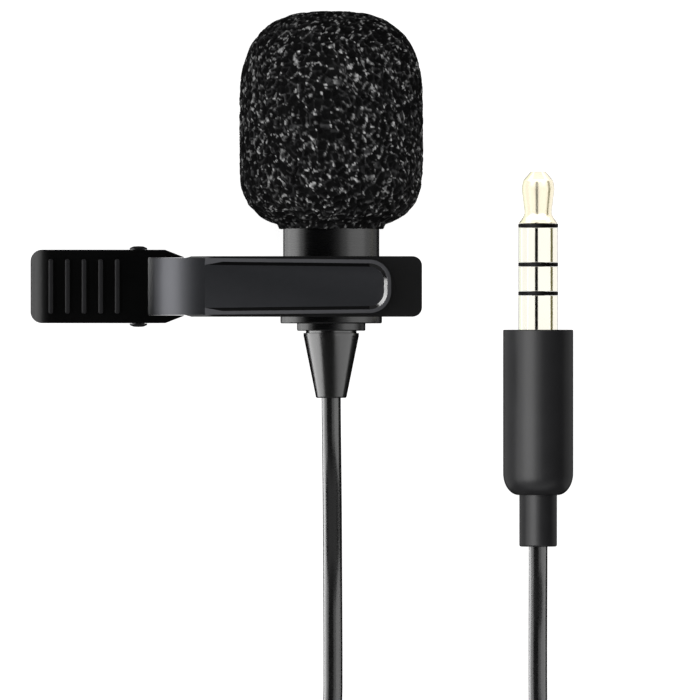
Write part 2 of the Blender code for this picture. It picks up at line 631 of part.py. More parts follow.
def cable():
    """The loose ends of the cable, the ring that its put-away length fills, and the tie round it."""
    low, thick = CABLE_RADIUS + 0.02, 2 * CABLE_RADIUS
    half_wide = max(COIL_ROWS) * thick / 2
    base = TIE_THICK + 0.05  # the tie's strap passes under the coil
    high = base + thick * (1 + (len(COIL_ROWS) - 1) * math.sqrt(3) / 2) + 0.05
    outer, inner, edge = COIL_MEAN_RADIUS + half_wide, COIL_MEAN_RADIUS - half_wide, 0.4
    top = high - CABLE_RADIUS

    mic_side = [
        (0.0, RELIEF_END - FACE_GAP, MIC_Z), (0.02, -12.5, 8.0), (0.06, -16.0, 7.0), (0.1, -20.5, 4.6),
        (0.12, -25.0, 2.3), (0.14, -29.5, 1.1), (0.15, -34.0, low), (0.1, -37.5, low),
        (-0.35, -41.0, low), (-1.35, -44.3, low), (-2.75, -47.4, low),
    ]
    plug_side = [
        (COIL_X + 10.35, COIL_Y + 12.65, top - 0.5), (COIL_X + 9.6, COIL_Y + 15.4, 4.4),
        (PLUG_X + 0.15, -40.9, 3.0), (PLUG_X + 0.02, -38.2, 1.75), (PLUG_X, -35.5, 1.05),
        (PLUG_X, -32.8, low), (PLUG_X, -30.1, 1.3), (PLUG_X, -27.4, 2.15), (PLUG_X, -25.2, 2.85),
        (PLUG_X, PLUG_END - FACE_GAP, SHELL_RADIUS),
    ]
    for name, knots in (("cable_mic_side", mic_side), ("cable_plug_side", plug_side)):
        points = [place(*p) for p in smooth_route(knots, 3.2)]
        wire(name, points, CABLE_RADIUS, "cable_jacket", 2)
    ring = [
        (outer - edge, high), (outer, high - edge), (outer, base + edge), (outer - edge, base),
        (inner + edge, base), (inner, base + edge), (inner, high - edge), (inner + edge, high),
    ]
    turned("cable_coil", ring, place(COIL_X, COIL_Y, 0), "cable_jacket", FINE, False)
    half = TIE_WIDE / 2
    far, near = outer + 0.05, math.sqrt(inner**2 - half**2) - 0.1
    low_corner = (COIL_X - half, COIL_Y - far, base - 0.05)
    high_corner = (COIL_X + half, COIL_Y - near, high + 0.05)
    hole = block("tie_hole", (low_corner[0] - 1, *low_corner[1:]), (high_corner[0] + 1, *high_corner[1:]))
    grown = (0, TIE_THICK, TIE_THICK)
    tie = block(
        "cable_tie",
        [a - g for a, g in zip(low_corner, grown, strict=True)],
        [a + g for a, g in zip(high_corner, grown, strict=True)],
        "rubber",
    )
    combine(tie, [hole])


PARTS = None
CUTTERS = None


def main():
    global PARTS, CUTTERS
    clear_scene()
    PARTS = collection("lavalier_microphone")
    CUTTERS = collection("cutters")
    make_materials()
    housing()
    cable_end()
    windscreen()
    clip()
    plug()
    cable()
    for thing in PARTS.objects:
        smooth_shading(thing)


main()
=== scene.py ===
"""Looks of the lavalier microphone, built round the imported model.

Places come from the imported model's boxes. In this file X is measured from the microphone's axis, Y from the
clip's centre line and Z from the floor, all in millimetres, and place() turns such a point into metres.
"""

import math

import bmesh
import bpy
import numpy as np
from mathutils import Matrix, Vector, kdtree, noise

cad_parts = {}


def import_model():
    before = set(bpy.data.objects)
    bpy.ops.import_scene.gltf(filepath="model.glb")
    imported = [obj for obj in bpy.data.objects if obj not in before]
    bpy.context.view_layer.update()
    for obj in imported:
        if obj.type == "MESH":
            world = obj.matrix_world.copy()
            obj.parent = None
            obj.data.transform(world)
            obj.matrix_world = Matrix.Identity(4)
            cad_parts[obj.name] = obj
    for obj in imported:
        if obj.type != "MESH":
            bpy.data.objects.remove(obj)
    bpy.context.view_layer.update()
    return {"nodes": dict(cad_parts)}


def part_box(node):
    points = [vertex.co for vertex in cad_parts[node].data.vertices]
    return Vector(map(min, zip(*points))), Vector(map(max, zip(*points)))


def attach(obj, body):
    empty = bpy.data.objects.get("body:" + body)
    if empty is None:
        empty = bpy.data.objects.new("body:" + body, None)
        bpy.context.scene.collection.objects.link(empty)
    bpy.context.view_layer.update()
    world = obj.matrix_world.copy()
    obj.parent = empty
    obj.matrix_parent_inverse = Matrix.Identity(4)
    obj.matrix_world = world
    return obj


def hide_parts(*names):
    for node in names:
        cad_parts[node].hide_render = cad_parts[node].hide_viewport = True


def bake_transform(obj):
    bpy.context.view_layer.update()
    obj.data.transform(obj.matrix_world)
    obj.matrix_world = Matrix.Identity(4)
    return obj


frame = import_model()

MM = 0.001
NODES = frame["nodes"]


# ---- places and sizes


def middle(node):
    low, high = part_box(node)
    return (low + high) / 2


ORIGIN = Vector((middle("capsule_housing").x, middle("jaw_strip").y, 0.0))


def place(x=0.0, y=0.0, z=0.0):
    """A point in metres from the microphone's axis, the clip's centre line and the floor."""
    return ORIGIN + Vector((x, y, z)) * MM


def span(node):
    """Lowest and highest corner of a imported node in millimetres."""
    low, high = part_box(node)
    return (low - ORIGIN) / MM, (high - ORIGIN) / MM


HOUSING_LOW, HOUSING_HIGH = span("capsule_housing")
MIC_Z = (HOUSING_LOW.z + HOUSING_HIGH.z) / 2
HOUSING_RADIUS = (HOUSING_HIGH.x - HOUSING_LOW.x) / 2
FOAM_LOW, FOAM_HIGH = span("foam_windscreen")
RELIEF_LOW, RELIEF_HIGH = span("strain_relief")
SHELL_LOW, SHELL_HIGH = span("plug_shell")
SHELL_RADIUS = (SHELL_HIGH.x - SHELL_LOW.x) / 2
PLUG_X = (SHELL_HIGH.x + SHELL_LOW.x) / 2
PLUG_RELIEF_LOW, PLUG_RELIEF_HIGH = span("plug_strain_relief")
COIL_LOW, COIL_HIGH = span("cable_coil")
COIL_X, COIL_Y = (COIL_LOW.x + COIL_HIGH.x) / 2, (COIL_LOW.y + COIL_HIGH.y) / 2
CABLE_RADIUS = 0.85


# ---- materials


def new_material(name):
    made = bpy.data.materials.new(name)
    made.use_nodes = True
    return made, made.node_tree, made.node_tree.nodes["Principled BSDF"]


def node(tree, kind, **settings):
    made = tree.nodes.new(kind)
    for key, value in settings.items():
        setattr(made, key, value)
    return made


def fill(thing, values):
    """Sets a node's inputs."""
    for name, value in values.items():
        thing.inputs[name].default_value = value


def point_on(tree, scale=(1.0, 1.0, 1.0)):
    """Object coordinates in millimetres, stretched by scale."""
    where = node(tree, "ShaderNodeTexCoord")
    sized = node(tree, "ShaderNodeMapping", vector_type="POINT")
    fill(sized, {"Scale": [1000.0 * s for s in scale]})
    tree.links.new(where.outputs["Object"], sized.inputs["Vector"])
    return sized.outputs["Vector"]


def noise_on(tree, vector, scale, detail=3.0):
    made = node(tree, "ShaderNodeTexNoise")
    fill(made, {"Scale": scale, "Detail": detail, "Roughness": 0.55})
    tree.links.new(vector, made.inputs["Vector"])
    return made.outputs["Fac"]


def ranged(tree, value, low, high, from_low=0.3, from_high=0.7):
    """The value, with the span that noise mostly fills brought to low..high, or another span."""
    made = node(tree, "ShaderNodeMapRange")
    fill(made, {"From Min": from_low, "From Max": from_high, "To Min": low, "To Max": high})
    tree.links.new(value, made.inputs["Value"])
    return made.outputs["Result"]


def between(tree, share, first, second):
    """A colour between two, the first of which may be another node's output."""
    made = node(tree, "ShaderNodeMix", data_type="RGBA")
    if isinstance(first, bpy.types.NodeSocket):
        tree.links.new(first, made.inputs["A"])
    else:
        fill(made, {"A": (*first, 1.0)})
    fill(made, {"B": (*second, 1.0)})
    tree.links.new(share, made.inputs["Factor"])
    return made.outputs["Result"]


def roughen(tree, shader, height, depth):
    """Gives a finish a fine relief, its depth in millimetres."""
    made = node(tree, "ShaderNodeBump")
    fill(made, {"Strength": 1.0, "Distance": depth * MM})
    tree.links.new(height, made.inputs["Height"])
    tree.links.new(made.outputs["Normal"], shader.inputs["Normal"])


def surface(name, colour, rough, metal=0.0, vary=0.2, grain=6.0, bump=0.001, stretch=(1, 1, 1),
            specular=0.5, coat=0.0, spread=0.06):
    """A moulded, painted or turned finish: mottled colour, uneven gloss and fine relief.

    grain is the relief's cycles in a millimetre and bump its depth in millimetres. vary is the share by which
    the colour changes from place to place, and spread is what the roughness changes by.
    """
    coat_rough, patches = 0.1, 0.35  # patches: cycles of the colour in a millimetre
    made, tree, shader = new_material(name)
    fill(shader, {"Metallic": metal, "Specular IOR Level": specular, "Coat Weight": coat,
                  "Coat Roughness": coat_rough})
    cloud = noise_on(tree, point_on(tree), patches, 4.0)
    darker = [c * (1 - vary) for c in colour]
    lighter = [min(1.0, c * (1 + vary)) for c in colour]
    tree.links.new(between(tree, ranged(tree, cloud, 0, 1), darker, lighter), shader.inputs["Base Color"])
    fine = noise_on(tree, point_on(tree, stretch), grain, 2.0)
    tree.links.new(ranged(tree, fine, rough - spread, rough + spread), shader.inputs["Roughness"])
    roughen(tree, shader, fine, bump)
    return made


def foam_material():
    """Black open-cell foam: matt cells, with a painted sheen of grey on some cell walls and painted glints
    where struts meet.

    Two attributes of the mesh say where the painted sheen and the painted glints go.
    """
    made, tree, shader = new_material("foam")
    fill(shader, {"Specular IOR Level": 0.1})
    where = point_on(tree)
    wall, painted_glint = (node(tree, "ShaderNodeAttribute", attribute_name=name).outputs["Fac"]
                   for name in ("wall", "painted_glint"))
    cell = between(tree, noise_on(tree, where, 0.9, 3.0), (0.0005, 0.0005, 0.0005),
                   (0.005, 0.005, 0.0053))
    # Painted sheen: cell walls picked by the wall attribute turn grey, standing in for light caught on them.
    skin = between(tree, wall, cell, (0.07, 0.07, 0.072))
    # Painted glints: near-white colour where struts meet stands in for highlights; these spots are also
    # glossier.
    tree.links.new(between(tree, painted_glint, skin, (0.9, 0.9, 0.9)), shader.inputs["Base Color"])
    tree.links.new(ranged(tree, painted_glint, 0.75, 0.3, 0.0, 0.6), shader.inputs["Roughness"])
    roughen(tree, shader, noise_on(tree, where, 6.0, 3.0), 0.03)
    return made


def make_materials():
    smooth = {"grain": 3.0, "bump": 0.0003, "spread": 0.02}
    return {
        "foam": foam_material(),
        "tube": surface("black_tube", (0.003, 0.003, 0.0033), 0.27, vary=0.15, grain=2.2, bump=0.0004,
                        stretch=(0.4, 9.0, 0.4), spread=0.04),
        "strip": surface("black_strip", (0.0125, 0.013, 0.014), 0.29, vary=0.04, grain=3.0, bump=0.0002,
                         spread=0.015),
        # Painted sheen: the rim is lighter than the panel, standing in for the light its raised edge catches.
        "rim": surface("strip_rim_painted_sheen", (0.044, 0.044, 0.046), 0.34, vary=0.05, **smooth),
        "wall": surface("strip_wall", (0.001, 0.001, 0.001), 0.2, vary=0.05, grain=5.0, bump=0.0004,
                        specular=0.9, spread=0.03),
        # Painted shade: the recess's long walls are near black and matt, so they read as a shadow line.
        "recess": surface("strip_recess", (0.001, 0.001, 0.001), 0.6, vary=0.1, specular=0.1),
        "plate": surface("black_plate", (0.017, 0.017, 0.018), 0.42, vary=0.08, spread=0.03),
        "grip": surface("black_grip", (0.0012, 0.0012, 0.0014), 0.40, vary=0.3, grain=9.0, bump=0.003,
                        specular=0.4),
        # Painted highlight: the ribs are lighter than the grip, so they read as lit ridges.
        "rib": surface("grip_rib_painted_highlight", (0.022, 0.022, 0.024), 0.6, vary=0.1, grain=9.0, bump=0.002,
                       specular=0.25),
        "blacked": surface("blacked_steel", (0.05, 0.05, 0.052), 0.32, metal=0.8),
        "plastic": surface("black_plastic", (0.012, 0.012, 0.013), 0.45, grain=9.0, bump=0.004),
        "shell": surface("plug_shell", (0.016, 0.016, 0.017), 0.34, vary=0.12, grain=10.0, spread=0.03),
        "insulator": surface("insulator", (0.001, 0.001, 0.001), 0.5, bump=0.002, specular=0.2),
        "relief": surface("relief_rubber", (0.004, 0.004, 0.004), 0.24, grain=5.0, bump=0.0004,
                          spread=0.03),
        "rubber": surface("rubber", (0.012, 0.012, 0.012), 0.38, grain=8.0, bump=0.004),
        "cable": surface("cable_jacket", (0.006, 0.006, 0.006), 0.25, grain=5.0),
        "tie": surface("cable_tie", (0.015, 0.015, 0.016), 0.8, vary=0.4, grain=9.0, bump=0.06),
        "gold": surface("gold", (1.0, 0.96, 0.85), 0.10, metal=1.0, vary=0.02, **smooth),
        "tip": surface("gold_tip", (1.0, 0.90, 0.70), 0.24, metal=1.0, vary=0.03, **smooth),
        "steel": surface("steel", (0.55, 0.55, 0.56), 0.30, metal=1.0, vary=0.08),
        "felt": surface("felt", (0.03, 0.03, 0.03), 0.95, vary=0.4, grain=12.0, bump=0.05),
        "board": surface("board", (0.02, 0.13, 0.05), 0.4, grain=3.0, bump=0.004, coat=0.4),
        "sleeve": surface("lead_sleeve", (0.45, 0.04, 0.03), 0.4, vary=0.15, bump=0.003),
    }


# ---- shapes


def soften(points, closed, steps=5):
    """The outline with an arc in place of each corner whose third value is a radius."""
    made = []
    for i, (a, b, *rest) in enumerate(points):
        radius = rest[0] if rest else 0.0
        if not radius or (not closed and i in (0, len(points) - 1)):
            made.append((a, b))
            continue
        here = Vector((a, b))
        back = (Vector(points[i - 1][:2]) - here).normalized()
        ahead = (Vector(points[(i + 1) % len(points)][:2]) - here).normalized()
        half = back.angle(ahead) / 2
        centre = here + (back + ahead).normalized() * (radius / math.sin(half))
        start = here + back * (radius / math.tan(half)) - centre
        end = here + ahead * (radius / math.tan(half)) - centre
        first = math.atan2(start.y, start.x)
        sweep = (math.atan2(end.y, end.x) - first + math.pi) % math.tau - math.pi
        for k in range(steps + 1):
            turn = first + sweep * k / steps
            made.append((centre.x + radius * math.cos(turn), centre.y + radius * math.sin(turn)))
    return made


def on_circle(centre, radius, degrees):
    turn = math.radians(degrees)
    return centre[0] + radius * math.cos(turn), centre[1] + radius * math.sin(turn)


def arc(centre, radius, start, end, count):
    """count + 1 points on an arc, angles in degrees."""
    return [on_circle(centre, radius, start + (end - start) * i / count) for i in range(count + 1)]


def added(name, data):
    """A new object with the data, in the scene."""
    made = bpy.data.objects.new(name, data)
    bpy.context.scene.collection.objects.link(made)
    return made


def finish_mesh(name, work, material):
    """A new object from a bmesh, smooth shaded, with its hard edges kept."""
    bmesh.ops.recalc_face_normals(work, faces=work.faces)
    mesh = bpy.data.meshes.new(name)
    work.to_mesh(mesh)
    work.free()
    mesh.shade_smooth()
    mesh.set_sharp_from_angle(angle=math.radians(35))
    if material:
        mesh.materials.append(material)
    return added(name, mesh)


def bridge(work, one, other):
    """Faces between two rings of points, either of which may be a single point."""
    for k in range(max(len(one), len(other))):
        corners = [one[k % len(one)], one[(k + 1) % len(one)],
                   other[(k + 1) % len(other)], other[k % len(other)]]
        unique = list(dict.fromkeys(corners))
        if len(unique) > 2:
            work.faces.new(unique)


def turned(name, profile, centre, material, steps=96, upright=False):
    """A solid turned about a line along Y through centre = (x, z), or an upright line through (x, y).

    The profile is (radius, place along the line[, corner radius]). It is closed round a bore, or it
    starts and ends on the line.
    """
    bored = all(p[0] > 0 for p in profile)
    line = soften(profile, bored)
    work = bmesh.new()
    rings = []
    for radius, along in line:
        count = steps if radius > 0 else 1
        ring = []
        for k in range(count):
            turn = math.tau * k / steps
            a, b = centre[0] + radius * math.cos(turn), centre[1] + radius * math.sin(turn)
            ring.append(work.verts.new(place(a, b, along) if upright else place(a, along, b)))
        rings.append(ring)
    pairs = list(zip(rings, rings[1:])) + ([(rings[-1], rings[0])] if bored else [])
    for one, other in pairs:
        bridge(work, one, other)
    return finish_mesh(name, work, material)


def prism(name, outline, half, upright, material=None, middle_at=0.0, inset=0.0):
    """A flat outline given thickness. Upright, its points are (x, z) and it is thick along Y.

    With an inset, the lower side is the outline moved inwards by it.
    """
    work = bmesh.new()
    low, high = middle_at - half, middle_at + half
    shapes = [shrink(outline, inset), outline] if inset else [outline, outline]
    sides = []
    for points, level in zip(shapes, (low, high)):
        spots = [place(a, level, b) if upright else place(a, b, level) for a, b in points]
        sides.append([work.verts.new(s) for s in spots])
    work.faces.new(sides[0])
    work.faces.new(sides[1])
    bridge(work, *sides)
    return finish_mesh(name, work, material)


def shrink(outline, by):
    """A closed outline moved inwards, for one whose corners are all rounded."""
    following = outline[1:] + outline[:1]
    area = sum(a[0] * b[1] - b[0] * a[1] for a, b in zip(outline, following))
    sign = 1 if area > 0 else -1
    made = []
    for before, here, after in zip(outline[-1:] + outline[:-1], outline, following):
        first = (Vector(here) - Vector(before)).normalized()
        second = (Vector(after) - Vector(here)).normalized()
        normal = Vector((-(first + second).y, (first + second).x)).normalized() * sign
        reach = by / max(0.3, math.cos(first.angle(second) / 2))
        made.append((here[0] + normal.x * reach, here[1] + normal.y * reach))
    return made


def mirrored(half):
    """An outline's upper half and its mirror image below."""
    return half + [(x, -y) for x, y in reversed(half)]


def stand_in(piece, name, body):
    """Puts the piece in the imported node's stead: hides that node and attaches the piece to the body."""
    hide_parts(name)
    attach(piece, body)
    return piece


WELD = 0.000002  # metres, within which points become one


def evaluated(thing):
    """The mesh that the object's modifiers make of it."""
    bpy.context.view_layer.update()
    depsgraph = bpy.context.evaluated_depsgraph_get()
    return bpy.data.meshes.new_from_object(thing.evaluated_get(depsgraph))


def apply(thing):
    """Applies the object's modifiers."""
    mesh, old = evaluated(thing), thing.data
    thing.modifiers.clear()
    thing.data = mesh
    bpy.data.meshes.remove(old)


def cut(thing, others, operation="DIFFERENCE"):
    """Takes the others away from thing, joins them to it or keeps what they share, and removes them."""
    for other in others:
        step = thing.modifiers.new("cut", "BOOLEAN")
        step.operation = operation
        step.object = other
        step.solver = "EXACT"
        apply(thing)
        bpy.data.objects.remove(other, do_unlink=True)


def trim(thing, outline, middle_at=12):
    """Keeps what lies inside an outline seen from above."""
    cut(thing, [prism("plan", outline, 10, False, middle_at=middle_at)], "INTERSECT")


def round_edges(thing, width, segments=3, angle=32):
    """Rounds every edge that is sharper than the angle."""
    step = thing.modifiers.new("weld", "WELD")
    step.merge_threshold = WELD
    step = thing.modifiers.new("round", "BEVEL")
    step.width = width * MM
    step.segments = segments
    step.limit_method = "ANGLE"
    step.angle_limit = math.radians(angle)
    step.use_clamp_overlap = True
    step.miter_outer = "MITER_ARC"
    apply(thing)
    thing.data.shade_smooth()
    thing.data.set_sharp_from_angle(angle=math.radians(40))
    return thing


def smooth_route(knots, step):
    """Points a step apart on a smooth curve through the knots."""
    path = [Vector(k) for k in knots]
    path = [2 * path[0] - path[1], *path, 2 * path[-1] - path[-2]]
    dense = []
    for a, b, c, d in zip(path, path[1:], path[2:], path[3:]):
        for i in range(24):
            t = i / 24
            dense.append(0.5 * (2 * b + (c - a) * t + (2 * a - 5 * b + 4 * c - d) * t**2
                                + (3 * b - a - 3 * c + d) * t**3))
    dense.append(path[-2])
    return even(dense, step)


def even(line, step):
    """The line's points set an even step apart."""
    far = np.concatenate([[0.0], np.cumsum([(b - a).length for a, b in zip(line, line[1:])])])
    count = max(2, round(far[-1] / step))
    wanted = np.linspace(0, far[-1], count + 1)
    table = np.array([tuple(p) for p in line])
    return [Vector(p) for p in np.stack([np.interp(wanted, far, table[:, k]) for k in range(3)], axis=1)]


def wire(name, points, radius, material, sides):
    """A round wire through points in millimetres, as a curve."""
    curve = bpy.data.curves.new(name, "CURVE")
    curve.dimensions = "3D"
    curve.bevel_depth = radius * MM
    curve.bevel_resolution = sides
    curve.use_fill_caps = True
    line = curve.splines.new("POLY")
    line.points.add(len(points) - 1)
    for point, spot in zip(line.points, points):
        point.co = (*place(*spot), 1.0)
    line.use_smooth = True
    curve.materials.append(material)
    return added(name, curve)


def to_mesh(thing):
    """A curve object as a welded mesh object of the same name."""
    mesh, name = evaluated(thing), thing.name
    bpy.data.objects.remove(thing, do_unlink=True)
    work = bmesh.new()
    work.from_mesh(mesh)
    bmesh.ops.remove_doubles(work, verts=work.verts, dist=WELD)
    return finish_mesh(name, work, mesh.materials[0])


# ---- cable


def coil_line():
    """The turns of the put-away cable, row by row, counter-clockwise from its left to its right."""
    thick = 2 * CABLE_RADIUS
    outer = (COIL_HIGH.x - COIL_LOW.x) / 2 - CABLE_RADIUS
    full = [outer - thick * i for i in range(6)]
    nested = [outer - thick * (i + 0.5) for i in range(5)]
    radii = full + nested[::-1] + full + nested[::-1]
    rows = [0] * 6 + [1] * 5 + [2] * 6 + [3] * 5
    lowest = COIL_LOW.z + CABLE_RADIUS + 0.02
    heights = [lowest + row * thick * math.sqrt(3) / 2 for row in rows]
    cross, steps = 22.0, 60  # a turn moves to the next one within cross degrees of the left
    points = []
    for i in range(len(radii)):
        last = i == len(radii) - 1
        for k in range(steps // 2 if last else steps):
            turn = 180 + cross + 360 * k / steps
            past = (turn - 180 + cross) % 360
            radius, height = radii[i], heights[i]
            if past < 2 * cross and not last:
                share = past / (2 * cross)
                share = share * share * (3 - 2 * share)
                radius += (radii[i + 1] - radius) * share
                height += (heights[i + 1] - height) * share
            points.append(Vector((*on_circle((COIL_X, COIL_Y), radius, turn), height)))
    return points


def cable_route():
    """The whole cable, from the microphone's strain relief round the coil to the plug's."""
    low, top = CABLE_RADIUS + 0.02, COIL_HIGH.z - CABLE_RADIUS
    out = [
        (0.0, RELIEF_LOW.y + 1.2, MIC_Z), (0.0, RELIEF_LOW.y - 0.3, MIC_Z), (0.02, -12.5, 8.0),
        (0.06, -16.0, 7.0), (0.1, -20.5, 4.6), (0.12, -25.0, 2.3), (0.14, -29.5, 1.1), (0.15, -34.0, low),
        (0.1, -37.5, low), (-0.35, -41.0, low), (-1.35, -44.3, low), (-2.75, -47.4, low),
        (-4.5, -51.2, low + 0.1), (-5.7, -55.5, low + 0.3),
    ]
    back = [
        (COIL_X + 11.6, COIL_Y + 8.5, top), (COIL_X + 10.35, COIL_Y + 12.65, top - 0.5),
        (COIL_X + 9.6, COIL_Y + 15.4, 4.4), (PLUG_X + 0.15, -40.9, 3.0), (PLUG_X + 0.02, -38.2, 1.75),
        (PLUG_X, -35.5, 1.05), (PLUG_X, -32.8, low), (PLUG_X, -30.1, 1.3), (PLUG_X, -27.4, 2.15),
        (PLUG_X, -25.2, 2.85), (PLUG_X, PLUG_RELIEF_LOW.y - 0.3, SHELL_RADIUS),
        (PLUG_X, PLUG_RELIEF_LOW.y + 1.0, SHELL_RADIUS),
    ]
    coil = coil_line()
    start = smooth_route([*out, *coil[:3]], 0.8)
    end = smooth_route([*coil[-3:], *back], 0.8)
    return start + coil[3:-3] + end


def make_cable(materials):
    flex = wire("cable", even(cable_route(), 1.3), CABLE_RADIUS, materials["cable"], 5)
    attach(flex, "microphone")
    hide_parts("cable_mic_side", "cable_coil", "cable_plug_side")
    return flex


# ---- camera, floor and light


def camera():
    """Looks straight down on the microphone and its plug."""
    cam = bpy.data.cameras.new("camera")
    cam.lens, cam.sensor_width = 800.0, 36.0
    cam.clip_start, cam.clip_end = 0.05, 10.0
    wide, level = 62.1, 12.0  # millimetres that the picture spans at that height
    made = added("camera", cam)
    made.location = place(1.67, -5.63, level + wide * cam.lens / cam.sensor_width)
    bpy.context.scene.camera = made


def group(name, things):
    made = bpy.data.collections.new(name)
    for thing in things:
        made.objects.link(thing)
    return made


def card(name, low, high, radiance, lit, blockers=None, swing=0.0, tall=0.9, gloss=True, colour=(1, 1, 1)):
    """A flat light over the angles from low to high, measured from straight up to the right.

    swing turns it about the upright, in degrees, so that at 90 it stands ahead, towards +Y. lit is
    the collection that it lights, and only blockers shade it.
    """
    middle_angle, half = math.radians((low + high) / 2), math.radians((high - low) / 2)
    reach = 0.8
    light = bpy.data.lights.new(name, "AREA")
    light.shape = "RECTANGLE"
    light.size = 2 * reach * math.tan(half)
    light.size_y = tall
    light.energy = radiance * math.pi * light.size * light.size_y
    light.color = colour
    made = added(name, light)
    turn = Matrix.Rotation(math.radians(swing), 4, "Z") @ Matrix.Rotation(middle_angle, 4, "Y")
    made.matrix_world = Matrix.Translation(place(6, -4, 8)) @ turn @ Matrix.Translation((0, 0, reach))
    made.visible_camera = False
    made.visible_glossy = gloss
    if lit:
        made.light_linking.receiver_collection = lit
    if blockers:
        made.light_linking.blocker_collection = blockers


def shining(name, grey, glow, rough=0.5):
    """A matt grey finish that gives off white light."""
    made, tree, shader = new_material(name)
    fill(shader, {"Base Color": (grey, grey, grey, 1.0), "Roughness": rough, "Specular IOR Level": 0.0,
                  "Emission Color": (1.0, 1.0, 1.0, 1.0), "Emission Strength": glow})
    return made


def floor():
    """A plain white surface, which takes a faint shadow."""
    work = bmesh.new()
    bmesh.ops.create_grid(work, x_segments=1, y_segments=1, size=6.0)
    bmesh.ops.translate(work, vec=(0, 0, -0.00002), verts=work.verts)
    plane = finish_mesh("floor", work, shining("floor", 0.9, 0.86, 0.9))
    plane.visible_glossy = False
    plane.visible_diffuse = False
    return plane


def backdrop():
    """A white wall far round the floor, which only the camera sees."""
    far = 3.0
    work = bmesh.new()
    bmesh.ops.create_cone(work, cap_ends=False, segments=64, radius1=far, radius2=far, depth=2 * far)
    wall = finish_mesh("backdrop", work, shining("backdrop", 0.0, 1.0))
    for ray in ("diffuse", "glossy", "transmission", "volume_scatter", "shadow"):
        setattr(wall, "visible_" + ray, False)


def world():
    """Dark overhead and to both sides, and paler low down in front and behind."""
    made = bpy.data.worlds.new("studio")
    made.use_nodes = True
    tree = made.node_tree
    where = node(tree, "ShaderNodeTexCoord")
    axes = node(tree, "ShaderNodeSeparateXYZ")
    tree.links.new(where.outputs["Generated"], axes.inputs["Vector"])
    along = node(tree, "ShaderNodeMath", operation="ABSOLUTE")
    tree.links.new(axes.outputs["Y"], along.inputs[0])
    ends = ranged(tree, along.outputs["Value"], 0.0, 1.0, 0.35, 0.7)
    height = node(tree, "ShaderNodeValToRGB")
    stops = height.color_ramp.elements
    stops[0].position, stops[0].color = 0.0, (0.10, 0.10, 0.10, 1)
    stops[1].position, stops[1].color = 1.0, (0, 0, 0, 1)
    for at, level in ((0.46, 0.06), (0.56, 0.06), (0.66, 0.5), (0.78, 0.5), (0.92, 0.0)):
        stop = stops.new(at)
        stop.color = (level, level, level, 1)
    tree.links.new(ranged(tree, axes.outputs["Z"], 0.0, 1.0, -1.0, 1.0), height.inputs["Fac"])
    tree.links.new(height.outputs["Color"], tree.nodes["Background"].inputs["Color"])
    tree.links.new(ends, tree.nodes["Background"].inputs["Strength"])
    bpy.context.scene.world = made


# Each set's lights: (lowest angle, highest angle, radiance), from straight up to the right.
RIG = {
    "tubes": [(-150, -128, 1.3), (-128, -108, 2.8), (-108, -84, 3.8), (-84, -68, 1.4),
              (8, 22, 0.2), (22, 40, 0.9), (40, 88, 2.4), (88, 108, 1.1), (108, 140, 0.4)],
    "strip": [(-58, -33, 5.8), (-33, -20, 1.4)],
    "levers": [(-112, -60, 2.6), (-150, -114, 1.0), (-8, 8, 0.25), (60, 120, 0.5)],
    "relief": [(-120, -50, 7.5), (15, 110, 3.0)],
    "cable": [(-140, -88, 7.0), (-88, -60, 3.5), (8, 34, 1.6), (36, 110, 3.2)],
    "plug": [(-50, -12, 3.0), (-80, -50, 1.5), (-12, 8, 0.8), (-150, -80, 0.4), (95, 150, 0.3)],
    "gold": [(-66, -19, 1.05), (-118, -64, 1.0), (-1, 78, 1.05), (96, 158, 1.0)],
    "foam": [(-80, -20, 1.4), (20, 80, 1.0)],
}


def lights(sets):
    card("fill", -35, 35, 1.0, None, gloss=False)
    card("floor_light", -30, 30, 0.25, sets["ground"], tall=0.6)
    shade, gold = sets["plug_shade"], sets["gold"]
    for name, cards in RIG.items():
        blockers = shade if name in ("plug", "gold") else None
        tall = 3.0 if name == "gold" else 0.9
        colour = (0.97, 0.98, 1.05) if name == "strip" else (1, 1, 1)
        for low, high, radiance in cards:
            label = f"{name}_{low}_{high}".replace("-", "m")
            card(label, low, high, radiance, sets[name], blockers, tall=tall, colour=colour)
    card("gold_green", -158, -114, 1.0, gold, shade, tall=3.0, colour=(0.95, 1.0, 0.90))
    card("gold_olive", 76, 98, 0.15, gold, shade, tall=3.0, colour=(0.9, 0.85, 0.4))
    for side in (-90, 90):
        card(f"gold_end_{side + 90}", 30, 112, 1.0, gold, shade, swing=side, tall=2.2)
    card("recess_key", -106, -80, 15.0, sets["strip"], swing=-24, tall=1.0)


# ---- microphone


